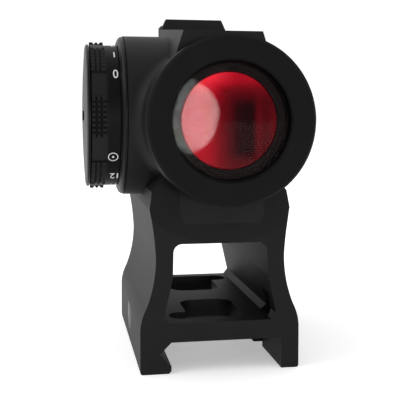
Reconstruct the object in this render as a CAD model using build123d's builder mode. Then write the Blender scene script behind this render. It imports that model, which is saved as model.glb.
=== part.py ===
from build123d import *
import os
from math import cos, radians, sin

# Tube red dot sight on a skeletonised rail riser. Millimetres.
# +X is right as seen from the objective end, +Y runs to the eyepiece, +Z is up.
# The origin lies on the rail seat, straight below the centre of the brightness dial.

os.makedirs("parts", exist_ok=True)

# ---------------------------------------------------------------- driving dimensions
AXIS_Z = 40.8          # optical axis above the rail seat
FRONT_Y = -20.0        # front plane of the riser and the housing
RISER_LENGTH = 45.0
RISER_X = -0.45        # centre plane of the riser's feet
TUBE_R = 14.45
TUBE_END_Y = 30.0
BORE_R = 12.4
THREAD_R = 12.6        # threaded spigots of both bezels
BEZEL_R = 15.0
BEZEL_LENGTH = 8.7
GLASS_R = 10.55
APERTURE_R = 8.7
FIT = 0.05             # radial clearance of running fits and threads
SEAL_R = 0.42          # section radius of the larger O-rings

DIAL_Z = 41.75         # dial axis above the rail seat
BOSS_R = 16.0
BOSS_X = 17.0          # outer end of the dial boss
CAVITY_R = 12.2
CAVITY_X = 13.8        # floor of the cavity in the dial boss
RING_X = 18.2          # outer face of the index ring
BAND_R = 14.1          # numbered band of the dial
KNURL_R = 14.7
GRIP_START_X, GRIP_END_X = 20.9, 23.6
FLANGE_X = 23.9        # inner face of the battery cap's flange
DIAL_STEPS = 16
DETENT_X, DETENT_R = 16.1, 0.8
DETENT_HOLE_END = 15.3

TURRET_Y = 22.1        # both adjusters stand here
TURRET_CAP_R = 6.75
NECK_R = 5.0
NECK_HEIGHT = 1.8
GUIDE_R = 1.95         # bore that guides an adjuster's plunger
HEAD_R = 2.95          # slotted head of an adjusting screw
TURRET_CAP_TOP = 21.6  # above the optical axis
FLUTES, FLUTE_R, FLUTE_DEPTH = 20, 0.7, 0.28
DECK = 17.8            # turret deck above the optical axis
SCREW_X, SCREW_Y = 4.6, 14.0     # mounting screws from their pattern's centre

BOLT_Y, BOLT_Z, BOLT_R = 3.7, -0.45, 1.75
JAW_FRONT_Y, JAW_REAR_Y = -5.1, 12.5

FRONT = Plane.XZ.offset(-FRONT_Y)
OPTIC = Plane(origin=(0, 0, AXIS_Z), x_dir=(0, 1, 0), z_dir=(1, 0, 0))
OPTIC_AXIS = Axis((0, 0, AXIS_Z), (0, 1, 0))
DIAL = Plane(origin=(0, 0, DIAL_Z), x_dir=(-1, 0, 0), z_dir=(0, 1, 0))
DIAL_AXIS = Axis((0, 0, DIAL_Z), (-1, 0, 0))
DIAL_FACE = Plane(origin=(0, 0, DIAL_Z), x_dir=(0, 1, 0), z_dir=(-1, 0, 0))
UP = Plane(origin=(0, TURRET_Y, AXIS_Z), x_dir=(0, 0, 1), z_dir=(0, 1, 0))
UP_AXIS = Axis((0, TURRET_Y, AXIS_Z), (0, 0, 1))
SIDE = Plane(origin=(0, TURRET_Y, AXIS_Z), x_dir=(1, 0, 0), z_dir=(0, 0, 1))
SIDE_AXIS = Axis((0, TURRET_Y, AXIS_Z), (1, 0, 0))


def across(y):
    """The upright plane square to the optical axis at y; sketches on it read X, Z."""
    return Plane.XZ.offset(-y)


def facing_dial(x_out):
    """The plane square to the dial axis, x_out from the centre plane, facing outwards."""
    return DIAL_FACE.offset(x_out)


def turned(plane, axis, *outline):
    """A solid of revolution; the outline reads (along the axis, radius)."""
    with BuildPart() as piece:
        with BuildSketch(plane):
            with BuildLine():
                Polyline(*outline, close=True)
            make_face()
        revolve(axis=axis)
    return piece


def seal(plane, axis, along, radius, section=SEAL_R):
    """An O-ring whose section is centred at (along, radius)."""
    with BuildPart() as ring:
        with BuildSketch(plane):
            with Locations((along, radius)):
                Circle(section)
        revolve(axis=axis)
    return ring


# ---------------------------------------------------------------- main housing
RAMP_END_Y = 13.1
GUARD_END_Y = 14.9
DECK_END_Y = 29.4
BOSS_BLEND_R = 2.5
WINDAGE_BOSS_R = 7.6
BASE_BOTTOM_Z = 21.8
DISH_R = 22.6          # conical relief round the bezel, shared with the riser
DISH_DEPTH = 1.3
DISH_TOP_Z = 32.0
DISH_INNER_R = 14.7    # hidden behind the bezel
SCREW_HOLE_TOP_Z = 26.6
WIRE_SLOT_Y = 9.0


with BuildPart() as dish:
    with BuildSketch(OPTIC):
        with BuildLine():
            Polyline((FRONT_Y - 1, DISH_INNER_R), (FRONT_Y + DISH_DEPTH, DISH_INNER_R), (FRONT_Y, DISH_R),
                     (FRONT_Y - 1, DISH_R), close=True)
        make_face()
    revolve(axis=OPTIC_AXIS)
    split(bisect_by=Plane.XY.offset(DISH_TOP_Z), keep=Keep.BOTTOM)

with BuildPart() as envelope:
    with BuildSketch(FRONT):
        with Locations((0, AXIS_Z)):
            Circle(TUBE_R)
    extrude(amount=-(TUBE_END_Y - FRONT_Y))
    with BuildSketch(DIAL_FACE):
        Circle(BOSS_R)
    extrude(amount=BOSS_X)
    fillet(envelope.edges().filter_by(GeomType.BSPLINE), radius=BOSS_BLEND_R)
    # base block that sits in the riser's saddle
    with BuildSketch(FRONT):
        with BuildLine():
            Polyline((-7.1, BASE_BOTTOM_Z), (7.1, BASE_BOTTOM_Z), (7.95, 23.5), (7.95, 33),
                     (-7.95, 33), (-7.95, 23.5), close=True)
        make_face()
    extrude(amount=-RISER_LENGTH)
    # ramp along the top
    with BuildSketch(FRONT):
        with BuildLine():
            Polyline((-9.0, 52.2), (-7.4, 57.2), (7.4, 57.2), (9.0, 52.2), (9.0, 45), (-9.0, 45),
                     close=True)
        make_face()
    with BuildSketch(across(RAMP_END_Y)):
        with BuildLine():
            Polyline((-9.2, 54.9), (-7.35, 60.7), (7.35, 60.7), (9.2, 54.9), (9.2, 45), (-9.2, 45),
                     close=True)
        make_face()
    loft(ruled=True)
    # turret guard and deck behind the ramp
    with BuildSketch(across(RAMP_END_Y)):
        with BuildLine():
            Polyline((-6.2, 63.0), (6.2, 63.0), (7.35, 60.5), (7.35, 50), (-7.35, 50), (-7.35, 60.5),
                     close=True)
        make_face()
    extrude(amount=-(GUARD_END_Y - RAMP_END_Y))
    with BuildSketch(across(RAMP_END_Y)):
        with BuildLine():
            Polyline((-7.6, AXIS_Z + DECK), (7.6, AXIS_Z + DECK), (9.2, 54.0), (9.2, 45), (-9.2, 45),
                     (-9.2, 54.0), close=True)
        make_face()
    extrude(amount=-(DECK_END_Y - RAMP_END_Y))
    # windage boss and the threaded necks of both turrets
    with BuildSketch(Plane(origin=(0, TURRET_Y, AXIS_Z), x_dir=(0, 1, 0), z_dir=(1, 0, 0))):
        Circle(WINDAGE_BOSS_R)
    extrude(amount=DECK)
    with BuildSketch(Plane(origin=(DECK, TURRET_Y, AXIS_Z), x_dir=(0, 1, 0), z_dir=(1, 0, 0))):
        Circle(NECK_R)
    extrude(amount=NECK_HEIGHT)
    with BuildSketch(Plane.XY.offset(AXIS_Z + DECK)):
        with Locations((0, TURRET_Y)):
            Circle(NECK_R)
    extrude(amount=NECK_HEIGHT)

with BuildPart() as main_housing:
    add(envelope.part)
    add(dish.part, mode=Mode.SUBTRACT)
    # bore along the optical axis, threaded at both ends
    with BuildSketch(OPTIC):
        with BuildLine():
            Polyline((FRONT_Y, 0), (FRONT_Y, THREAD_R + FIT), (-14.8, THREAD_R + FIT), (-14.8, BORE_R),
                     (24.8, BORE_R), (24.8, THREAD_R + FIT), (TUBE_END_Y, THREAD_R + FIT),
                     (TUBE_END_Y, 0), close=True)
        make_face()
    revolve(axis=OPTIC_AXIS, mode=Mode.SUBTRACT)
    # cavity in the dial boss, and the slot that the ribbon passes through
    with BuildSketch(facing_dial(CAVITY_X)):
        Circle(CAVITY_R)
    extrude(amount=BOSS_X - CAVITY_X, mode=Mode.SUBTRACT)
    with BuildSketch(facing_dial(BORE_R - 4)):
        with Locations((WIRE_SLOT_Y, 0)):
            Rectangle(1.0, 3.6)
    extrude(amount=6, mode=Mode.SUBTRACT)
    # stepped bores of the two adjusters
    for plane, axis in ((UP, UP_AXIS), (SIDE, SIDE_AXIS)):
        with BuildSketch(plane):
            with BuildLine():
                Polyline((10, 0), (10, GUIDE_R), (16.7, GUIDE_R), (16.7, HEAD_R + FIT),
                         (20, HEAD_R + FIT), (20, 0), close=True)
            make_face()
        revolve(axis=axis, mode=Mode.SUBTRACT)
    # threaded holes for the mounting screws
    with BuildSketch(Plane.XY.offset(BASE_BOTTOM_Z)):
        with Locations((0, FRONT_Y + RISER_LENGTH / 2)):
            with GridLocations(2 * SCREW_X, 2 * SCREW_Y, 2, 2):
                Circle(1.5 + FIT)
    extrude(amount=SCREW_HOLE_TOP_Z - BASE_BOTTOM_Z, mode=Mode.SUBTRACT)
    # blind hole for the dial's detent ball and spring, in the rear of the boss wall
    with BuildSketch(Plane(origin=(-DETENT_X, CAVITY_R - 1, DIAL_Z), x_dir=(1, 0, 0), z_dir=(0, 1, 0))):
        Circle(DETENT_R + FIT)
    extrude(amount=DETENT_HOLE_END - CAVITY_R + 1, mode=Mode.SUBTRACT)
main_housing.part.label = "main_housing"
export_step(main_housing.part, "parts/main_housing.step")

# ---------------------------------------------------------------- rail riser
FOOT_X, FOOT_BOTTOM_Z = 15.0, -5.8
FLOOR_Z = 3.55
WINDOW_TOP_Z = 18.2
LEG_INNER_X = 11.65
HOOK_TIP_X = 9.24      # inner edge of the fixed hook under the rail
RISER_MID_Y = FRONT_Y + RISER_LENGTH / 2
JAW_GAP = 0.4          # room round the jaw in the pocket of the right leg
POCKET_FLOOR_X, JAW_TOP_Z = 11.1, 3.2
SLOT_X, SLOT_Y, SLOT_CORNER_R = 10.6, 15.2, 3.0
LOBE_X, LOBE_Y, LOBE_OFFSET_X = 8.0, 5.2, 4.9
RELIEF_X, RELIEF_Y, RELIEF_R, RELIEF_HEIGHT = 7.3, -14.4, 3.4, 4.5
BOLT_HEAD_R, BOLT_HEAD_DEPTH = 3.0, 2.4
BOLT_GROOVE_DEPTH, BOLT_GROOVE_SIDE = 1.6, 0.5
SCREW_R, SCREW_HEAD_R = 1.5, 2.85
RISER = Plane(origin=(RISER_X, FRONT_Y, 0), x_dir=(1, 0, 0), z_dir=(0, -1, 0))
BOLT = Plane(origin=(RISER_X - FOOT_X, BOLT_Y, BOLT_Z), x_dir=(0, 1, 0), z_dir=(1, 0, 0))

with BuildPart() as riser_mount:
    # outer shape of one leg, mirrored to the other
    with BuildSketch(RISER):
        with BuildLine():
            Polyline((0, FOOT_BOTTOM_Z), (FOOT_X, FOOT_BOTTOM_Z), (FOOT_X, 2.3))
            ThreePointArc((FOOT_X, 2.3), (14.72, 4.2), (13.84, 6.5))
            ThreePointArc((13.84, 6.5), (12.52, 11.0), (12.08, 15.8))
            ThreePointArc((12.08, 15.8), (12.42, 19.8), (13.2, 24.6))
            Polyline((13.2, 24.6), (12.7, 27.8), (11.3, 29.4), (9.0, 31.4), (0, 31.4))
            mirror(about=Plane.YZ)
        make_face()
    extrude(amount=-RISER_LENGTH)
    # window from front to back
    with BuildSketch(RISER):
        with BuildLine():
            Polyline((0, FLOOR_Z), (9.7, FLOOR_Z), (10.6, 4.7), (8.95, 12.0), (8.8, WINDOW_TOP_Z),
                     (0, WINDOW_TOP_Z))
            mirror(about=Plane.YZ)
        make_face()
    extrude(amount=-RISER_LENGTH, mode=Mode.SUBTRACT)
    # channel that straddles the rail, hooked under it on the left
    with BuildSketch(RISER):
        with BuildLine():
            Polyline((LEG_INNER_X, 0), (-HOOK_TIP_X, 0), (-11.3, -2.06), (-11.3, -2.35),
                     (-HOOK_TIP_X, -4.41), (-HOOK_TIP_X, -5.3), (-9.74, -5.8), (-9.74, -7),
                     (LEG_INNER_X, -7), close=True)
        make_face()
    extrude(amount=-RISER_LENGTH, mode=Mode.SUBTRACT)
    long_edges = riser_mount.edges().filter_by(Axis.Y)
    fillet([edge for edge in long_edges if abs(edge.center().Z - WINDOW_TOP_Z) < 0.01], radius=1.6)
    fillet([edge for edge in long_edges if abs(edge.center().X - RISER_X) > 14.9
            and edge.center().Z < FOOT_BOTTOM_Z + 0.1], radius=0.5)
    # pocket of the movable jaw in the right leg
    with BuildSketch(RISER.offset(FRONT_Y - JAW_FRONT_Y + JAW_GAP)):
        with BuildLine():
            Polyline((POCKET_FLOOR_X, -7), (POCKET_FLOOR_X, JAW_TOP_Z + JAW_GAP),
                     (16, JAW_TOP_Z + JAW_GAP), (16, -7), close=True)
        make_face()
    extrude(amount=-(JAW_REAR_Y - JAW_FRONT_Y + 2 * JAW_GAP), mode=Mode.SUBTRACT)
    # floor slots, each with a lobe towards one corner, and the cutter's relief in the right wall
    for sign, y in ((-1, -9.2), (1, 14.9)):
        with BuildSketch(Plane.XY.offset(-1)):
            with Locations((RISER_X, y)):
                RectangleRounded(SLOT_X, SLOT_Y, SLOT_CORNER_R)
            with Locations((RISER_X + sign * LOBE_OFFSET_X, y + sign * (SLOT_Y - LOBE_Y) / 2)):
                RectangleRounded(LOBE_X, LOBE_Y, LOBE_Y / 2 - 0.1)
        extrude(amount=FLOOR_Z + 2, mode=Mode.SUBTRACT)
    with BuildSketch(Plane.XY.offset(FLOOR_Z)):
        with Locations((RELIEF_X, RELIEF_Y)):
            Circle(RELIEF_R)
    extrude(amount=RELIEF_HEIGHT, mode=Mode.SUBTRACT)
    # groove across the seat that keeps it clear of the cross-bolt
    with BuildSketch(Plane.XY):
        with Locations((RISER_X + (LEG_INNER_X - HOOK_TIP_X) / 2, BOLT_Y)):
            Rectangle(LEG_INNER_X + HOOK_TIP_X, 2 * (BOLT_R + BOLT_GROOVE_SIDE))
    extrude(amount=BOLT_GROOVE_DEPTH, mode=Mode.SUBTRACT)
    # cross-bolt, counterbored for its head
    with BuildSketch(BOLT):
        Circle(BOLT_R + FIT)
    extrude(amount=2 * FOOT_X, mode=Mode.SUBTRACT)
    with BuildSketch(BOLT):
        Circle(BOLT_HEAD_R + 0.1)
    extrude(amount=BOLT_HEAD_DEPTH, mode=Mode.SUBTRACT)
    # saddle that fits the housing, the relief below the bezel, and four countersunk holes
    add(envelope.part, mode=Mode.SUBTRACT)
    add(dish.part, mode=Mode.SUBTRACT)
    with Locations(Plane(origin=(0, RISER_MID_Y, WINDOW_TOP_Z), x_dir=(1, 0, 0), z_dir=(0, 0, -1))):
        with GridLocations(2 * SCREW_X, 2 * SCREW_Y, 2, 2):
            CounterSinkHole(SCREW_R + FIT, SCREW_HEAD_R + FIT, depth=BASE_BOTTOM_Z - WINDOW_TOP_Z,
                            counter_sink_angle=90)
riser_mount.part.label = "riser_mount"
export_step(riser_mount.part, "parts/riser_mount.step")

# ---------------------------------------------------------------- clamp
NUT_ACROSS, NUT_LENGTH, NUT_SUNK = 6.0, 3.4, 2.0
BOLT_END_X = 33.2      # from the outer face of the left foot

with BuildPart() as clamp_jaw:
    with BuildSketch(RISER.offset(FRONT_Y - JAW_FRONT_Y)):
        with BuildLine():
            Polyline((11.3, JAW_TOP_Z), (15.0, JAW_TOP_Z), (15.0, -4.4), (14.5, -4.9), (10.0, -4.9),
                     (9.24, -4.2), (11.3, -2.14), close=True)
        make_face()
    extrude(amount=-(JAW_REAR_Y - JAW_FRONT_Y))
    with BuildSketch(BOLT):
        Circle(BOLT_R + FIT)
    extrude(amount=2 * FOOT_X, mode=Mode.SUBTRACT)
    with BuildSketch(BOLT.offset(2 * FOOT_X - NUT_SUNK)):
        RegularPolygon(NUT_ACROSS / 2 + FIT, 6, major_radius=False)
    extrude(amount=NUT_SUNK, mode=Mode.SUBTRACT)
clamp_jaw.part.label = "clamp_jaw"
export_step(clamp_jaw.part, "parts/clamp_jaw.step")

with BuildPart() as clamp_nut:
    with BuildSketch(BOLT.offset(2 * FOOT_X - NUT_SUNK)):
        RegularPolygon(NUT_ACROSS / 2, 6, major_radius=False)
        Circle(BOLT_R + FIT, mode=Mode.SUBTRACT)
    extrude(amount=NUT_LENGTH)
clamp_nut.part.label = "clamp_nut"
export_step(clamp_nut.part, "parts/clamp_nut.step")

with BuildPart() as cross_bolt:
    with BuildSketch(BOLT):
        Circle(BOLT_HEAD_R)
    extrude(amount=BOLT_HEAD_DEPTH - 0.1)
    with BuildSketch(BOLT):
        Circle(BOLT_R)
    extrude(amount=BOLT_END_X)
    with BuildSketch(BOLT):
        Rectangle(0.9, 2 * BOLT_HEAD_R)
    extrude(amount=0.9, mode=Mode.SUBTRACT)
cross_bolt.part.label = "cross_bolt"
export_step(cross_bolt.part, "parts/cross_bolt.step")

with BuildPart() as mount_screws:
    with Locations((0, RISER_MID_Y, WINDOW_TOP_Z)):
        with GridLocations(2 * SCREW_X, 2 * SCREW_Y, 2, 2):
            Cone(SCREW_HEAD_R, SCREW_R, SCREW_HEAD_R - SCREW_R, align=(Align.CENTER, Align.CENTER, Align.MIN))
            Cylinder(SCREW_R, 8.0, align=(Align.CENTER, Align.CENTER, Align.MIN))
    with BuildSketch(Plane.XY.offset(WINDOW_TOP_Z)):
        with Locations((0, RISER_MID_Y)):
            with GridLocations(2 * SCREW_X, 2 * SCREW_Y, 2, 2):
                RegularPolygon(1.0, 6, major_radius=False)
    extrude(amount=1.2, mode=Mode.SUBTRACT)
mount_screws.part.label = "mount_screws"
export_step(mount_screws.part, "parts/mount_screws.step")

# ---------------------------------------------------------------- objective end
BEZEL_FRONT = FRONT_Y - BEZEL_LENGTH
WINDOW_LEDGE = BEZEL_FRONT + 2.0
APERTURE_Y = BEZEL_FRONT + 3.2
SHOULDER_RELIEF = 0.3  # undercut where the bezel meets the housing
LENS_POCKET_R = 10.9
SEAL_GROOVE_R = 13.4

objective_bezel = turned(
    OPTIC, OPTIC_AXIS,
    (BEZEL_FRONT, 10.9), (BEZEL_FRONT, BEZEL_R - 0.45), (BEZEL_FRONT + 0.45, BEZEL_R),
    (BEZEL_FRONT + 3.6, BEZEL_R), (BEZEL_FRONT + 3.6, BEZEL_R - 0.35),
    (BEZEL_FRONT + 4.1, BEZEL_R - 0.35), (BEZEL_FRONT + 4.1, BEZEL_R),
    (FRONT_Y - SHOULDER_RELIEF, BEZEL_R), (FRONT_Y - SHOULDER_RELIEF, BEZEL_R - 0.35),
    (FRONT_Y, BEZEL_R - 0.35), (FRONT_Y, SEAL_GROOVE_R + 0.5), (FRONT_Y - 0.9, SEAL_GROOVE_R + 0.5),
    (FRONT_Y - 0.9, SEAL_GROOVE_R - 0.5), (FRONT_Y, SEAL_GROOVE_R - 0.5), (FRONT_Y, THREAD_R),
    (-15.0, THREAD_R), (-15.0, LENS_POCKET_R), (APERTURE_Y + 1, LENS_POCKET_R),
    (APERTURE_Y + 1, APERTURE_R), (APERTURE_Y, APERTURE_R), (APERTURE_Y, 10.2),
    (WINDOW_LEDGE, 10.2), (WINDOW_LEDGE, 10.6), (BEZEL_FRONT + 0.3, 10.6))
objective_bezel.part.label = "objective_bezel"
export_step(objective_bezel.part, "parts/objective_bezel.step")

objective_window = turned(
    OPTIC, OPTIC_AXIS,
    (WINDOW_LEDGE - 1.2, 0), (WINDOW_LEDGE, 0), (WINDOW_LEDGE, GLASS_R), (WINDOW_LEDGE - 1.2, GLASS_R))
objective_window.part.label = "objective_window"
export_step(objective_window.part, "parts/objective_window.step")

reflector_lens = turned(
    OPTIC, OPTIC_AXIS,
    (APERTURE_Y + 0.3, 0), (APERTURE_Y + 0.3, APERTURE_R - 0.15), (APERTURE_Y + 0.4, APERTURE_R - FIT),
    (APERTURE_Y + 1, APERTURE_R - FIT), (APERTURE_Y + 1, LENS_POCKET_R - FIT), (-21.0, LENS_POCKET_R - FIT),
    (-21.0, 0))
reflector_lens.part.label = "reflector_lens"
export_step(reflector_lens.part, "parts/reflector_lens.step")

with BuildPart() as lens_retaining_ring:
    with BuildSketch(across(-21.0)):
        with Locations((0, AXIS_Z)):
            Circle(LENS_POCKET_R - FIT)
            Circle(9.3, mode=Mode.SUBTRACT)
    extrude(amount=-2.0)
    with BuildSketch(across(-20.0)):
        with Locations((0, AXIS_Z)):
            Rectangle(24, 1.2)
    extrude(amount=-1.0, mode=Mode.SUBTRACT)
lens_retaining_ring.part.label = "lens_retaining_ring"
export_step(lens_retaining_ring.part, "parts/lens_retaining_ring.step")

objective_o_ring = seal(OPTIC, OPTIC_AXIS, FRONT_Y - SEAL_R, SEAL_GROOVE_R)
objective_o_ring.part.label = "objective_o_ring"
export_step(objective_o_ring.part, "parts/objective_o_ring.step")

# ---------------------------------------------------------------- inner tube and emitter
INNER_TUBE_R, INNER_BORE_R = 10.4, 9.4
PIVOT_Y = -12.7        # both tilt axes cross here
EMITTER_Y = 12.0

with BuildPart() as pivot_ring:
    with BuildSketch(across(PIVOT_Y - 1.5)):
        with Locations((0, AXIS_Z)):
            Circle(BORE_R - 0.1)
            Circle(10.9, mode=Mode.SUBTRACT)
    extrude(amount=-3.0)
pivot_ring.part.label = "pivot_ring"
export_step(pivot_ring.part, "parts/pivot_ring.step")

inner_tube = turned(
    OPTIC, OPTIC_AXIS,
    (PIVOT_Y - 1.3, INNER_BORE_R), (PIVOT_Y - 1.3, 10.8), (PIVOT_Y + 1.3, 10.8),
    (PIVOT_Y + 1.3, INNER_TUBE_R), (23.5, INNER_TUBE_R), (23.5, INNER_BORE_R))
inner_tube.part.label = "inner_tube"
export_step(inner_tube.part, "parts/inner_tube.step")

with BuildPart() as led_holder:
    with BuildSketch(across(EMITTER_Y)):
        with Locations((0, AXIS_Z)):
            Circle(INNER_BORE_R)
            with Locations((3.4, 0)):
                Rectangle(20, 20, mode=Mode.SUBTRACT)
            Rectangle(20, 5.0, mode=Mode.INTERSECT)
    extrude(amount=-6.0)
led_holder.part.label = "led_holder"
export_step(led_holder.part, "parts/led_holder.step")

with BuildPart() as led_emitter:
    with BuildSketch(across(EMITTER_Y)):
        with Locations((-7.9, AXIS_Z)):
            Rectangle(1.6, 1.6)
    extrude(amount=0.5)
    with BuildSketch(across(EMITTER_Y - 0.5)):
        with Locations((-7.9, AXIS_Z)):
            Circle(0.5)
    extrude(amount=0.3)
led_emitter.part.label = "led_emitter"
export_step(led_emitter.part, "parts/led_emitter.step")

with BuildPart() as return_spring:
    with BuildSketch(across(TURRET_Y - 2.5)):
        with BuildLine(Plane(origin=(0, AXIS_Z, 0), x_dir=(cos(radians(225)), sin(radians(225)), 0))):
            outer = ThreePointArc((11.2, -4.9), (11.35, 0), (11.2, 4.9))
            inner = ThreePointArc((10.95, -4.9), (11.1, 0), (10.95, 4.9))
            Line(outer @ 0, inner @ 0)
            Line(outer @ 1, inner @ 1)
        make_face()
    extrude(amount=-5.0)
return_spring.part.label = "return_spring"
export_step(return_spring.part, "parts/return_spring.step")

# ---------------------------------------------------------------- eyepiece end
REAR_BEZEL_R = 14.7
REAR_FACE_Y = 36.6

rear_bezel = turned(
    OPTIC, OPTIC_AXIS,
    (25.0, 11.0), (25.0, THREAD_R), (TUBE_END_Y, THREAD_R), (TUBE_END_Y, SEAL_GROOVE_R - 0.5),
    (TUBE_END_Y + 0.9, SEAL_GROOVE_R - 0.5), (TUBE_END_Y + 0.9, SEAL_GROOVE_R + 0.5),
    (TUBE_END_Y, SEAL_GROOVE_R + 0.5), (TUBE_END_Y, REAR_BEZEL_R), (32.0, REAR_BEZEL_R),
    (32.0, REAR_BEZEL_R - 0.35), (32.5, REAR_BEZEL_R - 0.35), (32.5, REAR_BEZEL_R),
    (REAR_FACE_Y - 0.5, REAR_BEZEL_R), (REAR_FACE_Y, REAR_BEZEL_R - 0.5), (REAR_FACE_Y, 11.0),
    (REAR_FACE_Y - 0.4, 10.6), (33.2, 10.6), (33.2, 9.8), (31.5, 9.8), (31.5, 11.0))
rear_bezel.part.label = "rear_bezel"
export_step(rear_bezel.part, "parts/rear_bezel.step")

rear_window = turned(OPTIC, OPTIC_AXIS, (33.2, 0), (34.6, 0), (34.6, GLASS_R), (33.2, GLASS_R))
rear_window.part.label = "rear_window"
export_step(rear_window.part, "parts/rear_window.step")

rear_retaining_ring = turned(
    OPTIC, OPTIC_AXIS, (34.6, 9.8), (34.6, GLASS_R), (35.6, GLASS_R), (35.6, 10.1))
rear_retaining_ring.part.label = "rear_retaining_ring"
export_step(rear_retaining_ring.part, "parts/rear_retaining_ring.step")

rear_o_ring = seal(OPTIC, OPTIC_AXIS, TUBE_END_Y + SEAL_R, SEAL_GROOVE_R)
rear_o_ring.part.label = "rear_o_ring"
export_step(rear_o_ring.part, "parts/rear_o_ring.step")

# ---------------------------------------------------------------- electronics in the dial boss
BOARD_R, BOARD_OUTER_X = 11.8, 14.8
CONTACT_X = 18.4       # where the contact's tip meets the cell

with BuildPart() as circuit_board:
    with BuildSketch(facing_dial(CAVITY_X)):
        Circle(BOARD_R)
        with Locations((WIRE_SLOT_Y, 0)):
            Rectangle(1.4, 4.0, mode=Mode.SUBTRACT)
        with GridLocations(0, 16.4, 1, 2):
            Circle(0.75, mode=Mode.SUBTRACT)
    extrude(amount=BOARD_OUTER_X - CAVITY_X)
circuit_board.part.label = "circuit_board"
export_step(circuit_board.part, "parts/circuit_board.step")

with BuildPart() as board_chips:
    with BuildSketch(facing_dial(BOARD_OUTER_X)):
        for position, size in (((-5.5, 4.5), (3, 3)), ((-6, -4), (2, 1.2)), ((5.5, -5.5), (1.6, 0.8))):
            with Locations(position):
                Rectangle(*size)
    extrude(amount=0.8)
board_chips.part.label = "board_chips"
export_step(board_chips.part, "parts/board_chips.step")

with BuildPart() as board_screws:
    with BuildSketch(facing_dial(BOARD_OUTER_X)):
        with GridLocations(0, 16.4, 1, 2):
            Circle(1.3)
    extrude(amount=0.6)
    with BuildSketch(facing_dial(CAVITY_X)):
        with GridLocations(0, 16.4, 1, 2):
            Circle(0.7)
    extrude(amount=BOARD_OUTER_X - CAVITY_X)
    with BuildSketch(facing_dial(BOARD_OUTER_X + 0.6)):
        with GridLocations(0, 16.4, 1, 2):
            Rectangle(2.6, 0.4)
    extrude(amount=-0.3, mode=Mode.SUBTRACT)
board_screws.part.label = "board_screws"
export_step(board_screws.part, "parts/board_screws.step")

with BuildPart() as flex_ribbon:
    with BuildSketch(facing_dial(10.9)):
        with Locations((WIRE_SLOT_Y, 0)):
            Rectangle(0.2, 3.0)
    extrude(amount=BOARD_OUTER_X - 10.9)
flex_ribbon.part.label = "flex_ribbon"
export_step(flex_ribbon.part, "parts/flex_ribbon.step")

with BuildPart() as battery_contact:
    with BuildSketch(DIAL):
        with BuildLine():
            Polyline((BOARD_OUTER_X, -4), (BOARD_OUTER_X, 0), (CONTACT_X - 0.25, 3), (CONTACT_X - 0.25, 4.5),
                     (CONTACT_X, 4.5), (CONTACT_X, 2.8), (BOARD_OUTER_X + 0.3, -0.3),
                     (BOARD_OUTER_X + 0.3, -4), close=True)
        make_face()
    extrude(amount=1.5, both=True)
battery_contact.part.label = "battery_contact"
export_step(battery_contact.part, "parts/battery_contact.step")

index_ring = turned(
    DIAL, DIAL_AXIS,
    (BOSS_X, 12.3), (BOSS_X, 15.6), (17.15, 15.85), (17.5, 15.85), (17.9, 15.5), (RING_X, 14.8),
    (RING_X, 12.3))
index_ring.part.label = "index_ring"
export_step(index_ring.part, "parts/index_ring.step")

# ---------------------------------------------------------------- dial, cell and battery cap
HUB_R = 12.1
HUB_END_X = 15.2
CELL_BAY_R = 10.4
CAP_THREAD_R = 11.7
GRIP_BASE_R = 14.2
GRIPS = 7
GRIP_ARC = 30.4        # degrees covered by each knurled grip
FIRST_FLAT = 26.9      # degrees above the front side to the middle of a smooth flat
KNURL_ROWS, KNURL_COLUMNS = 8, 3
KNURL_DEPTH, KNURL_HALF_WIDTH = 0.4, 0.37

brightness_dial_body = turned(
    DIAL, DIAL_AXIS,
    (HUB_END_X, CELL_BAY_R), (HUB_END_X, HUB_R), (17.2, HUB_R), (17.2, 11.3), (18.1, 11.3),
    (18.1, HUB_R), (RING_X + 0.1, HUB_R), (RING_X + 0.1, BAND_R), (GRIP_START_X, BAND_R),
    (GRIP_START_X, GRIP_BASE_R), (GRIP_END_X, GRIP_BASE_R), (GRIP_END_X, 13.4), (23.05, 13.4),
    (23.05, 12.3), (GRIP_END_X, 12.3), (GRIP_END_X, CAP_THREAD_R + FIT), (21.8, CAP_THREAD_R + FIT),
    (21.8, CELL_BAY_R))

# angles run from the rear towards the top, so the front side lies at 180 degrees
grip_starts = [180 - FIRST_FLAT + (grip + 0.5) * 360 / GRIPS - GRIP_ARC / 2 for grip in range(GRIPS)]
grip_width = GRIP_END_X - GRIP_START_X

with BuildPart() as brightness_dial:
    add(brightness_dial_body.part)
    # seven raised grips, which carry the knurling
    with BuildSketch(facing_dial(GRIP_START_X)):
        for start in grip_starts:
            with BuildLine():
                outer = CenterArc((0, 0), KNURL_R, start, GRIP_ARC)
                inner = CenterArc((0, 0), GRIP_BASE_R - 0.5, start, GRIP_ARC)
                Line(outer @ 0, inner @ 0)
                Line(outer @ 1, inner @ 1)
            make_face()
    extrude(amount=grip_width)
    # knurling: V grooves across each grip, then two that run round all of them
    with BuildSketch(facing_dial(GRIP_START_X)):
        for start in grip_starts:
            for row in range(1, KNURL_ROWS):
                with PolarLocations(KNURL_R, 1, start_angle=start + row * GRIP_ARC / KNURL_ROWS):
                    Polygon((0.03, -KNURL_HALF_WIDTH), (0.03, KNURL_HALF_WIDTH), (-KNURL_DEPTH, 0),
                            align=None)
    extrude(amount=grip_width, mode=Mode.SUBTRACT)
    with BuildSketch(DIAL):
        for column in range(1, KNURL_COLUMNS):
            middle = GRIP_START_X + column * grip_width / KNURL_COLUMNS
            with BuildLine():
                Polyline((middle - KNURL_HALF_WIDTH, KNURL_R + 0.03), (middle, KNURL_R - KNURL_DEPTH),
                         (middle + KNURL_HALF_WIDTH, KNURL_R + 0.03), close=True)
            make_face()
    revolve(axis=DIAL_AXIS, mode=Mode.SUBTRACT)
    # notches for the detent ball
    with Locations(facing_dial(DETENT_X)):
        with PolarLocations(HUB_R + 0.65, DIAL_STEPS):
            Sphere(DETENT_R + 0.08, mode=Mode.SUBTRACT)
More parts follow.
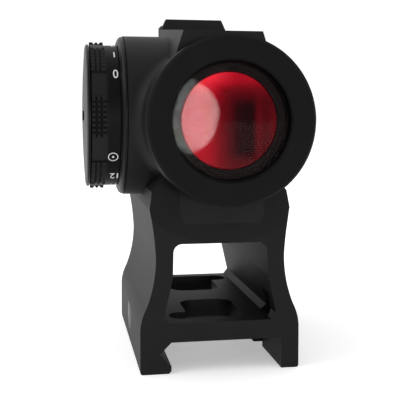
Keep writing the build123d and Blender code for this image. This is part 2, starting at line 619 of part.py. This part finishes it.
brightness_dial.part.label = "brightness_dial"
export_step(brightness_dial.part, "parts/brightness_dial.step")

dial_o_ring = seal(DIAL, DIAL_AXIS, 17.65, 11.74)
dial_o_ring.part.label = "dial_o_ring"
export_step(dial_o_ring.part, "parts/dial_o_ring.step")

battery = turned(
    DIAL, DIAL_AXIS, (18.45, 0), (18.45, 8.6), (18.75, 8.9), (18.75, 9.6), (19.1, 10.0), (21.65, 10.0),
    (21.65, 0))
battery.part.label = "battery"
export_step(battery.part, "parts/battery.step")

with BuildPart() as battery_cap:
    with BuildSketch(DIAL):
        with BuildLine():
            dome = TangentArc((25.0, 0), (24.5, 13.8), tangent=(0, 1))
            Polyline(dome @ 1, (24.3, 14.25), (FLANGE_X, 14.25), (FLANGE_X, CAP_THREAD_R),
                     (22.2, CAP_THREAD_R), (22.2, 9.5), (21.75, 9.5), (21.75, 0), dome @ 0)
        make_face()
    revolve(axis=DIAL_AXIS)
    with BuildSketch(facing_dial(24.2)):
        SlotOverall(13.0, 2.0)
    extrude(amount=1.0, mode=Mode.SUBTRACT)
battery_cap.part.label = "battery_cap"
export_step(battery_cap.part, "parts/battery_cap.step")

battery_cap_o_ring = seal(DIAL, DIAL_AXIS, 23.475, 12.85, 0.415)
battery_cap_o_ring.part.label = "battery_cap_o_ring"
export_step(battery_cap_o_ring.part, "parts/battery_cap_o_ring.step")

# ---------------------------------------------------------------- detent of the dial
with BuildPart() as detent_ball:
    with Locations((-DETENT_X, HUB_R + FIT + DETENT_R, DIAL_Z)):
        Sphere(DETENT_R)
detent_ball.part.label = "detent_ball"
export_step(detent_ball.part, "parts/detent_ball.step")

with BuildPart() as detent_spring:
    with BuildLine():
        coil = Helix(pitch=0.42, height=1.2, radius=0.55, center=(-DETENT_X, 13.95, DIAL_Z),
                     direction=(0, 1, 0))
    with BuildSketch(Plane(origin=coil @ 0, z_dir=coil % 0)):
        Circle(0.09)
    sweep(path=coil)
detent_spring.part.label = "detent_spring"
export_step(detent_spring.part, "parts/detent_spring.step")

# ---------------------------------------------------------------- elevation and windage adjusters
def adjusting_screw(plane, axis):
    """Slotted screw that turns in its neck and is threaded inside for the plunger."""
    with BuildPart() as screw:
        with BuildSketch(plane):
            with BuildLine():
                Polyline((13.2, 1.0), (13.2, GUIDE_R - FIT), (16.8, GUIDE_R - FIT), (16.8, HEAD_R),
                         (19.2, HEAD_R), (19.2, 0), (17.2, 0), (17.2, 1.0), close=True)
            make_face()
        revolve(axis=axis)
        with BuildSketch(Plane(origin=axis.position + axis.direction * 19.2, x_dir=(0, 1, 0),
                               z_dir=axis.direction)):
            Rectangle(2 * HEAD_R, 0.8)
        extrude(amount=-0.9, mode=Mode.SUBTRACT)
    return screw


def plunger(plane, axis):
    """Pin that the screw drives against the inner tube."""
    return turned(plane, axis, (10.5, 0), (10.5, 1.4), (10.9, GUIDE_R - FIT), (12.5, GUIDE_R - FIT),
                  (12.5, 1.0 - FIT), (16.2, 1.0 - FIT), (16.2, 0))


def turret_cap(plane, axis):
    """Screw-on cap over a turret, with a fluted rim and a coin slot across its top."""
    top = Plane(origin=axis.position + axis.direction * TURRET_CAP_TOP, x_dir=(0, 1, 0),
                z_dir=axis.direction)
    with BuildPart() as cap:
        with BuildSketch(plane):
            with BuildLine():
                Polyline((DECK + 0.15, NECK_R + FIT), (DECK + 0.15, 5.3), (DECK + 0.95, 5.3),
                         (DECK + 0.95, 6.2), (DECK + 0.15, 6.2), (DECK + 0.15, TURRET_CAP_R),
                         (TURRET_CAP_TOP - 0.4, TURRET_CAP_R), (TURRET_CAP_TOP, TURRET_CAP_R - 0.4),
                         (TURRET_CAP_TOP, 0), (20.0, 0),
                         (20.0, NECK_R + FIT), close=True)
            make_face()
        revolve(axis=axis)
        with BuildSketch(top):
            SlotOverall(9.0, 1.4)
        extrude(amount=-0.8, mode=Mode.SUBTRACT)
        with BuildSketch(top):
            with PolarLocations(TURRET_CAP_R + FLUTE_R - FLUTE_DEPTH, FLUTES):
                Circle(FLUTE_R)
        extrude(amount=-(TURRET_CAP_TOP - DECK - 0.8), mode=Mode.SUBTRACT)
    return cap


elevation_screw = adjusting_screw(UP, UP_AXIS)
elevation_screw.part.label = "elevation_screw"
export_step(elevation_screw.part, "parts/elevation_screw.step")

elevation_plunger = plunger(UP, UP_AXIS)
elevation_plunger.part.label = "elevation_plunger"
export_step(elevation_plunger.part, "parts/elevation_plunger.step")

elevation_cap = turret_cap(UP, UP_AXIS)
elevation_cap.part.label = "elevation_cap"
export_step(elevation_cap.part, "parts/elevation_cap.step")

elevation_cap_o_ring = seal(UP, UP_AXIS, DECK + 0.45, 5.75, 0.4)
elevation_cap_o_ring.part.label = "elevation_cap_o_ring"
export_step(elevation_cap_o_ring.part, "parts/elevation_cap_o_ring.step")

windage_screw = adjusting_screw(SIDE, SIDE_AXIS)
windage_screw.part.label = "windage_screw"
export_step(windage_screw.part, "parts/windage_screw.step")

windage_plunger = plunger(SIDE, SIDE_AXIS)
windage_plunger.part.label = "windage_plunger"
export_step(windage_plunger.part, "parts/windage_plunger.step")

windage_cap = turret_cap(SIDE, SIDE_AXIS)
windage_cap.part.label = "windage_cap"
export_step(windage_cap.part, "parts/windage_cap.step")

windage_cap_o_ring = seal(SIDE, SIDE_AXIS, DECK + 0.45, 5.75, 0.4)
windage_cap_o_ring.part.label = "windage_cap_o_ring"
export_step(windage_cap_o_ring.part, "parts/windage_cap_o_ring.step")
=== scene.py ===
import math

import bmesh
import bpy
from mathutils import Matrix, Vector


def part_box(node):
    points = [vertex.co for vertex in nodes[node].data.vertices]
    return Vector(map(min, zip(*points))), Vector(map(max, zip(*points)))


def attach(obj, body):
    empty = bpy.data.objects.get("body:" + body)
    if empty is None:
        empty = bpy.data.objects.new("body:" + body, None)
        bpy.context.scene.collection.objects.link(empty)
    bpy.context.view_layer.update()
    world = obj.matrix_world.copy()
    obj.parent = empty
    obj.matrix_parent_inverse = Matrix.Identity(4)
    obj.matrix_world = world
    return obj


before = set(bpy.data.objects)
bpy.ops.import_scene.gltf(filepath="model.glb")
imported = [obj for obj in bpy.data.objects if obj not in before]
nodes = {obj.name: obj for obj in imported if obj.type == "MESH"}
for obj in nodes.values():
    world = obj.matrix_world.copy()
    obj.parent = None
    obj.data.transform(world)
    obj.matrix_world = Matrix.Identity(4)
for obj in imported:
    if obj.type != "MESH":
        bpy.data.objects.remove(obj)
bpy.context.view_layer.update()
scene = bpy.context.scene
MM = 0.001

# Key places of the CAD model, metres
AXIS_Z = 40.8 * MM
DIAL_Z = 41.75 * MM
BAND_R = 14.1 * MM
FLOOR_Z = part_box("riser_mount")[0].z


# ---------------------------------------------------------------- node helpers
class Tree:
    """A material's node tree, built from the shader outwards."""

    def __init__(self, name):
        self.material = bpy.data.materials.new(name)
        self.material.use_nodes = True
        self.nodes = self.material.node_tree.nodes
        self.links = self.material.node_tree.links
        self.shader = self.nodes["Principled BSDF"]
        self.place = self.add("ShaderNodeTexCoord").outputs["Object"]

    def add(self, kind, **settings):
        node = self.nodes.new(kind)
        for key, value in settings.items():
            if key in node.inputs:
                node.inputs[key].default_value = value
            else:
                setattr(node, key, value)
        return node

    def set(self, **values):
        for key, value in values.items():
            self.shader.inputs[key.replace("_", " ")].default_value = value

    def noise(self, scale, detail=2.0, roughness=0.5):
        node = self.add("ShaderNodeTexNoise", Scale=scale, Detail=detail, Roughness=roughness)
        self.links.new(self.place, node.inputs["Vector"])
        return node.outputs["Fac"]

    def spread(self, value, low, high, start=0.3, end=0.7):
        """Remaps a value running from start to end onto low to high."""
        node = self.add("ShaderNodeMapRange")
        for key, number in (("From Min", start), ("From Max", end), ("To Min", low), ("To Max", high)):
            node.inputs[key].default_value = number
        self.links.new(value, node.inputs["Value"])
        return node.outputs["Result"]

    def ramp(self, value, *stops):
        node = self.add("ShaderNodeValToRGB")
        ramp = node.color_ramp
        while len(ramp.elements) < len(stops):
            ramp.elements.new(0.5)
        for element, (position, colour) in zip(ramp.elements, stops):
            element.position = position
            element.color = (*colour, 1)
        self.links.new(value, node.inputs["Fac"])
        return node.outputs["Color"]

    def bump(self, height, strength, distance):
        node = self.add("ShaderNodeBump", Strength=strength, Distance=distance)
        self.links.new(height, node.inputs["Height"])
        return node.outputs["Normal"]

    def drive(self, socket, output):
        self.links.new(output, self.shader.inputs[socket])


def anodised(name, dark, light, rough, specular, grain=9000, depth=0.012):
    """Bead-blasted, hard-anodised aluminium: fine grain, slightly cloudy dye."""
    t = Tree(name)
    t.set(Metallic=0.0, Specular_IOR_Level=specular)
    cloud = t.noise(160, 3)
    t.drive("Base Color", t.ramp(cloud, (0.35, (dark,) * 3), (0.65, (light,) * 3)))
    blast = t.noise(grain, 2, 0.6)
    t.drive("Roughness", t.spread(blast, rough - 0.05, rough + 0.05))
    t.drive("Normal", t.bump(blast, 0.35, depth * MM))
    return t.material


def turned_metal(name, colour_a, colour_b, rough, metallic=1.0, scale=4000):
    """Bare or plated metal with machining marks."""
    t = Tree(name)
    t.set(Metallic=metallic)
    marks = t.noise(scale, 2, 0.6)
    t.drive("Base Color", t.ramp(marks, (0.3, colour_a), (0.7, colour_b)))
    t.drive("Roughness", t.spread(marks, rough - 0.06, rough + 0.06))
    t.drive("Normal", t.bump(marks, 0.2, 0.01 * MM))
    return t.material


# ---------------------------------------------------------------- materials
body_black = anodised("body_black", 0.0065, 0.0085, 0.55, 0.18)
bezel_black = anodised("bezel_black", 0.003, 0.004, 0.6, 0.09, grain=14000, depth=0.006)
riser_black = anodised("riser_black", 0.0025, 0.004, 0.58, 0.17)
fine_black = anodised("fine_black", 0.0035, 0.0045, 0.42, 0.14, grain=14000, depth=0.006)
inner_black = anodised("inner_black", 0.004, 0.005, 0.7, 0.1, grain=14000, depth=0.006)
screw_black = turned_metal("screw_black", (0.012,) * 3, (0.02,) * 3, 0.38, 0.6)
bare_steel = turned_metal("bare_steel", (0.42, 0.42, 0.41), (0.56, 0.56, 0.55), 0.3)
spring_steel = turned_metal("spring_steel_look", (0.34, 0.34, 0.34), (0.46, 0.46, 0.47), 0.28,
                            scale=6000)
brass = turned_metal("brass_look", (0.62, 0.42, 0.14), (0.74, 0.52, 0.2), 0.26)
gold = turned_metal("gold_look", (0.86, 0.6, 0.2), (0.95, 0.7, 0.28), 0.22, scale=7000)


def dial_black():
    """The dial's dye is a little paler on the handled grips than on the numbered band."""
    t = Tree("dial_black")
    t.set(Specular_IOR_Level=0.1)
    split = t.add("ShaderNodeSeparateXYZ")
    t.links.new(t.place, split.inputs["Vector"])
    handled = t.spread(split.outputs["X"], 0.0, 1.0, -20.4 * MM, -20.9 * MM)
    t.drive("Base Color", t.ramp(handled, (0.0, (0.002,) * 3), (1.0, (0.014,) * 3)))
    blast = t.noise(14000, 2, 0.6)
    t.drive("Roughness", t.spread(blast, 0.42, 0.54))
    t.drive("Normal", t.bump(blast, 0.35, 0.006 * MM))
    return t.material


def rubber():
    t = Tree("rubber_look")
    t.set(Specular_IOR_Level=0.3)
    mottle = t.noise(3500, 3)
    t.drive("Base Color", t.ramp(mottle, (0.3, (0.008,) * 3), (0.7, (0.014,) * 3)))
    t.drive("Roughness", t.spread(mottle, 0.6, 0.78))
    t.drive("Normal", t.bump(mottle, 0.25, 0.01 * MM))
    return t.material


def moulded_plastic():
    t = Tree("moulded_plastic")
    t.set(Specular_IOR_Level=0.45)
    texture = t.noise(8000, 2)
    t.drive("Base Color", t.ramp(texture, (0.3, (0.01,) * 3), (0.7, (0.018,) * 3)))
    t.drive("Roughness", t.spread(texture, 0.38, 0.5))
    t.drive("Normal", t.bump(texture, 0.2, 0.006 * MM))
    return t.material


def board():
    """Green solder mask over faint copper tracks."""
    t = Tree("board_look")
    t.set(Specular_IOR_Level=0.5)
    tracks = t.add("ShaderNodeTexVoronoi", feature="DISTANCE_TO_EDGE", Scale=420.0)
    t.links.new(t.place, tracks.inputs["Vector"])
    t.drive("Base Color", t.ramp(tracks.outputs["Distance"], (0.05, (0.03, 0.13, 0.05)),
                                 (0.09, (0.008, 0.06, 0.025))))
    t.drive("Roughness", t.spread(t.noise(3000), 0.28, 0.42))
    t.drive("Normal", t.bump(tracks.outputs["Distance"], 0.2, 0.02 * MM))
    return t.material


def ribbon():
    """Amber flexible circuit with copper conductors seen through it."""
    t = Tree("ribbon_look")
    wave = t.add("ShaderNodeTexWave", wave_type="BANDS", bands_direction="Z", Scale=350.0)
    t.links.new(t.place, wave.inputs["Vector"])
    t.drive("Base Color", t.ramp(wave.outputs["Fac"], (0.45, (0.42, 0.16, 0.02)),
                                 (0.55, (0.62, 0.3, 0.06))))
    t.drive("Roughness", t.spread(t.noise(2500), 0.25, 0.4))
    return t.material


def emitter():
    t = Tree("emitter_look")
    t.set(Emission_Strength=0.6)
    die = t.noise(5000)
    t.drive("Base Color", t.ramp(die, (0.3, (0.5, 0.02, 0.01)), (0.7, (0.7, 0.05, 0.02))))
    t.set(Emission_Color=(1, 0.05, 0.02, 1))
    return t.material


def clear_pane(name, tint):
    """Anti-reflection coated flat glass."""
    t = Tree(name)
    t.set(Transmission_Weight=1.0, IOR=1.08, Roughness=0.0)
    t.drive("Base Color", t.ramp(t.noise(60, 1), (0.4, tint), (0.6, tuple(0.98 * c for c in tint))))
    return t.material


def coated_lens():
    """Dichroic red coating: deep crimson, with reflections painted into its colour: a painted
    highlight brightest at the upper left, and a soft painted dark patch standing for the unlit inside
    of the sight mirrored in the coating."""
    t = Tree("coated_lens")
    split = t.add("ShaderNodeSeparateXYZ")
    t.links.new(t.place, split.inputs["Vector"])

    def math_node(operation, a, b):
        node = t.add("ShaderNodeMath", operation=operation)
        for socket, value in zip(node.inputs, (a, b)):
            if isinstance(value, (int, float)):
                socket.default_value = value
            else:
                t.links.new(value, socket)
        return node.outputs[0]

    def smooth(value, start, end):
        """0 at the start, 1 at the end, eased."""
        node = t.add("ShaderNodeMapRange", interpolation_type="SMOOTHSTEP")
        node.inputs["From Min"].default_value = start
        node.inputs["From Max"].default_value = end
        t.links.new(value, node.inputs["Value"])
        return node.outputs["Result"]

    x, z = split.outputs["X"], split.outputs["Z"]
    # painted highlight: bright left side and upper edge, brightest where they meet
    left = smooth(x, 2.0 * MM, -5.0 * MM)
    top = smooth(z, AXIS_Z + 3.5 * MM, AXIS_Z + 8.0 * MM)
    edge = math_node("MULTIPLY", math_node("MAXIMUM", left, top), 0.5)
    corner = math_node("MULTIPLY", math_node("MULTIPLY", left, top), 0.5)
    painted_highlight_at = math_node("ADD", edge, corner)
    # painted dark reflection: a dark patch right of the middle, then a fainter strip near the right
    # edge
    band = math_node("MULTIPLY", smooth(x, -2.2 * MM, 2.4 * MM), smooth(x, 5.6 * MM, 4.0 * MM))
    tall = math_node("MULTIPLY", smooth(z, AXIS_Z - 8.2 * MM, AXIS_Z - 5.2 * MM),
                     smooth(z, AXIS_Z + 6.0 * MM, AXIS_Z + 2.0 * MM))
    dark = math_node("MULTIPLY", band, tall)
    painted_dark_strip = math_node("MULTIPLY", smooth(x, 5.2 * MM, 6.2 * MM), smooth(x, 7.9 * MM, 6.9 * MM))
    painted_dark_strip = math_node("MULTIPLY", painted_dark_strip, math_node("MULTIPLY", tall, 0.35))
    painted_dark_reflection = math_node("MAXIMUM", dark, painted_dark_strip)
    # the painted highlight and the painted dark reflection are mixed into the base colour below
    painted_highlight_colour = t.ramp(painted_highlight_at, (0.0, (0.14, 0.002, 0.008)), (0.25, (0.22, 0.003, 0.012)),
                  (0.5, (0.48, 0.008, 0.028)), (1.0, (0.95, 0.06, 0.12)))
    mix = t.add("ShaderNodeMix", data_type="RGBA")
    t.links.new(painted_dark_reflection, mix.inputs["Factor"])
    t.links.new(painted_highlight_colour, mix.inputs["A"])
    mix.inputs["B"].default_value = (0.012, 0.001, 0.002, 1)
    t.drive("Base Color", mix.outputs["Result"])
    t.set(Metallic=1.0, Coat_Weight=1.0, Coat_Roughness=0.0, Coat_IOR=1.2)
    t.drive("Roughness", t.spread(t.noise(700), 0.8, 0.84))
    return t.material


def painted_white():
    t = Tree("numeral_paint")
    fill = t.noise(5000, 2)
    t.drive("Base Color", t.ramp(fill, (0.3, (0.72,) * 3), (0.7, (0.84,) * 3)))
    t.drive("Roughness", t.spread(fill, 0.45, 0.6))
    return t.material


rubber_look, plastic_look, board_look, ribbon_look = rubber(), moulded_plastic(), board(), ribbon()
emitter_look, lens_look, paint = emitter(), coated_lens(), painted_white()
dial_look = dial_black()
front_glass = clear_pane("front_glass", (1.0, 0.8, 0.8))
rear_glass = clear_pane("rear_glass", (0.9, 0.97, 0.95))

LOOKS = {
    body_black: ("main_housing",),
    bezel_black: ("objective_bezel", "rear_bezel"),
    riser_black: ("riser_mount", "clamp_jaw"),
    fine_black: ("index_ring", "battery_cap", "elevation_cap", "windage_cap"),
    dial_look: ("brightness_dial",),
    inner_black: ("lens_retaining_ring", "rear_retaining_ring", "pivot_ring", "inner_tube"),
    screw_black: ("cross_bolt", "clamp_nut", "mount_screws"),
    plastic_look: ("led_holder", "board_chips"),
    board_look: ("circuit_board",),
    ribbon_look: ("flex_ribbon",),
    rubber_look: ("objective_o_ring", "rear_o_ring", "dial_o_ring", "battery_cap_o_ring",
                  "elevation_cap_o_ring", "windage_cap_o_ring"),
    bare_steel: ("battery", "board_screws", "detent_ball"),
    spring_steel: ("detent_spring", "return_spring"),
    brass: ("elevation_screw", "windage_screw", "elevation_plunger", "windage_plunger"),
    gold: ("battery_contact",),
    emitter_look: ("led_emitter",),
    lens_look: ("reflector_lens",),
    front_glass: ("objective_window",),
    rear_glass: ("rear_window",),
}
for look, names in LOOKS.items():
    for name in names:
        node = nodes[name]
        node.data.materials.clear()
        node.data.materials.append(look)
unpainted = set(nodes) - {name for names in LOOKS.values() for name in names}
if unpainted:
    raise ValueError(f"no look for {sorted(unpainted)}")
for name in ("objective_window", "rear_window"):
    nodes[name].visible_shadow = False


# ---------------------------------------------------------------- dial numerals
NUMERAL_X = -19.1 * MM     # middle of the numerals on the dial's band
MARK_X = -19.65 * MM       # middle of the ring-and-dot
NUMERAL_HEIGHT = 1.95 * MM
CONDENSED = 0.78
PAINT_PROUD = 0.03 * MM
STEP = 2 * math.pi / 16    # between dial positions
FIRST = math.radians(33.75)  # the 0, above the front side
OFF_STEP = -3              # the off mark, counted from the 0
SIZE_PER_HEIGHT = 1.42     # of the built-in font, per height of its digits
LONGEST_EDGE = 0.3 * MM    # of a marking before it is bent


def wrapped(name, mesh, angle, centre_x=NUMERAL_X):
    """Bends a flat marking onto the numbered band. Its x runs outwards along the dial's axis, its y
    along the band, and its z outwards. The angle is 0 on the front side and grows towards the top."""
    work = bmesh.new()
    work.from_mesh(mesh)
    bmesh.ops.triangulate(work, faces=work.faces)
    for _ in range(3):
        edges = [e for e in work.edges if e.calc_length() > LONGEST_EDGE]
        if edges:
            bmesh.ops.subdivide_edges(work, edges=edges, cuts=1)
            bmesh.ops.triangulate(work, faces=work.faces)
    for vertex in work.verts:
        x, y, z = vertex.co
        turn = angle - y / BAND_R
        radius = BAND_R + PAINT_PROUD + z
        vertex.co = (centre_x - x, -radius * math.cos(turn), DIAL_Z + radius * math.sin(turn))
    bmesh.ops.recalc_face_normals(work, faces=work.faces)
    result = bpy.data.meshes.new(name)
    work.to_mesh(result)
    work.free()
    piece = bpy.data.objects.new(name, result)
    scene.collection.objects.link(piece)
    piece.data.materials.append(paint)
    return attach(piece, "dial")


def numeral(text):
    """A flat numeral, centred, its top towards +y."""
    curve = bpy.data.curves.new("numeral_outline", "FONT")
    curve.body = text
    curve.align_x, curve.align_y = "CENTER", "CENTER"
    curve.size = NUMERAL_HEIGHT * SIZE_PER_HEIGHT
    curve.space_character = 0.92
    curve.offset = 0.01 * MM
    curve.extrude = PAINT_PROUD
    curve.resolution_u = 6
    holder = bpy.data.objects.new("numeral_outline", curve)
    scene.collection.objects.link(holder)
    bpy.context.view_layer.update()
    mesh = bpy.data.meshes.new_from_object(holder.evaluated_get(bpy.context.evaluated_depsgraph_get()))
    bpy.data.objects.remove(holder)
    middle = (min(v.co.y for v in mesh.vertices) + max(v.co.y for v in mesh.vertices)) / 2
    mesh.transform(Matrix.Diagonal((CONDENSED, 1, 1, 1)) @ Matrix.Translation((0, -middle, 0)))
    return mesh


def ring_and_dot(radius, width, dot):
    """The mark for off: a ring around a dot, flat."""
    work = bmesh.new()
    sides = 48

    def prism(outer, inner):
        rings = []
        for r in (outer, inner):
            for z in (-PAINT_PROUD, PAINT_PROUD):
                rings.append([work.verts.new((r * math.cos(2 * math.pi * i / sides),
                                              r * math.sin(2 * math.pi * i / sides), z))
                              for i in range(sides)])
        for a, b in ((0, 1), (1, 3), (3, 2), (2, 0)):
            for i in range(sides):
                j = (i + 1) % sides
                work.faces.new((rings[a][i], rings[a][j], rings[b][j], rings[b][i]))

    prism(radius, radius - width)
    prism(dot, dot * 0.02)
    mesh = bpy.data.meshes.new("ring_and_dot")
    work.to_mesh(mesh)
    work.free()
    return mesh


for number in range(13):
    wrapped(f"numeral_{number}", numeral(str(number)), FIRST + number * STEP)
wrapped("numeral_off", ring_and_dot(0.97 * MM, 0.16 * MM, 0.22 * MM), FIRST + OFF_STEP * STEP, MARK_X)


# ---------------------------------------------------------------- floor, light and camera
def pale_floor():
    t = Tree("pale_floor")
    grain = t.noise(40, 2)
    t.drive("Base Color", t.ramp(grain, (0.3, (0.93,) * 3), (0.7, (0.95,) * 3)))
    t.set(Roughness=1.0, Specular_IOR_Level=0.0, Emission_Color=(1, 1, 1, 1), Emission_Strength=0.4)
    return t.material


work = bmesh.new()
bmesh.ops.create_grid(work, x_segments=8, y_segments=8, size=6.0)
floor_mesh = bpy.data.meshes.new("floor")
work.to_mesh(floor_mesh)
work.free()
floor = bpy.data.objects.new("floor", floor_mesh)
floor.location.z = FLOOR_Z
scene.collection.objects.link(floor)
floor.data.materials.append(pale_floor())

# backdrop, dimmest in front of the sight and brightest behind it, up and to the left
world = bpy.data.worlds.new("studio")
scene.world = world
world.use_nodes = True
wn, wl = world.node_tree.nodes, world.node_tree.links
direction = wn.new("ShaderNodeTexCoord").outputs["Generated"]
aim = wn.new("ShaderNodeVectorMath")
aim.operation = "DOT_PRODUCT"
aim.inputs[1].default_value = Vector((-0.35, 0.85, 0.35)).normalized()
wl.new(direction, aim.inputs[0])
reach = wn.new("ShaderNodeMapRange")
for key, number in (("From Min", -0.9), ("From Max", 0.6), ("To Min", 0.4), ("To Max", 1.05)):
    reach.inputs[key].default_value = number
wl.new(aim.outputs["Value"], reach.inputs["Value"])
wl.new(reach.outputs["Result"], wn["Background"].inputs["Strength"])
wn["Background"].inputs["Color"].default_value = (1, 1, 1, 1)


def area_light(name, place, target, size, power, shape="SQUARE"):
    data = bpy.data.lights.new(name, "AREA")
    data.shape = shape
    data.size = size
    data.energy = power
    light = bpy.data.objects.new(name, data)
    light.location = place
    light.rotation_euler = (Vector(target) - Vector(place)).to_track_quat("-Z", "Y").to_euler()
    scene.collection.objects.link(light)
    return light


CENTRE = Vector((0, 0, AXIS_Z))
area_light("key_left", (-0.9, -0.15, 0.75), CENTRE, size=0.7, power=3.5)

CAMERA = Vector((-0.02955, -0.1638, 0.04165))
YAW = math.radians(9.93)
SHIFT = 0.10
FOCAL, SENSOR = 72.0, 36.0
RISE = 0.21                # height of the horizon above the picture's middle, in picture widths
pitch = math.atan((RISE - SHIFT) * SENSOR / FOCAL)
lens = bpy.data.cameras.new("camera")
lens.lens, lens.sensor_width = FOCAL, SENSOR
lens.shift_y = -SHIFT
lens.clip_start, lens.clip_end = 0.01, 50
camera = bpy.data.objects.new("camera", lens)
camera.location = CAMERA
look = Vector((math.sin(YAW) * math.cos(pitch), math.cos(YAW) * math.cos(pitch), -math.sin(pitch)))
camera.rotation_euler = look.to_track_quat("-Z", "Y").to_euler()
scene.collection.objects.link(camera)
scene.camera = camera

# round softbox whose reflection lies on the left of the front window
GLARE_SIDE = math.radians(-1.33)   # from the camera's heading
GLARE_HALF_ANGLE = math.radians(2.74)
GLARE_DISTANCE = 0.45              # from the window
heading = YAW + GLARE_SIDE
ray = Vector((math.sin(heading), math.cos(heading), 0))
window_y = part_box("objective_window")[0].y
hit = CAMERA + ray * ((window_y - CAMERA.y) / ray.y)
spot = hit + Vector((ray.x, -ray.y, 0)) * GLARE_DISTANCE
width = 2 * math.tan(GLARE_HALF_ANGLE) * ((hit - CAMERA).length + GLARE_DISTANCE)
softbox = area_light("round_softbox", spot, hit, size=width, power=0.36, shape="DISK")
softbox.visible_diffuse = False

scene.view_settings.view_transform = "Standard"
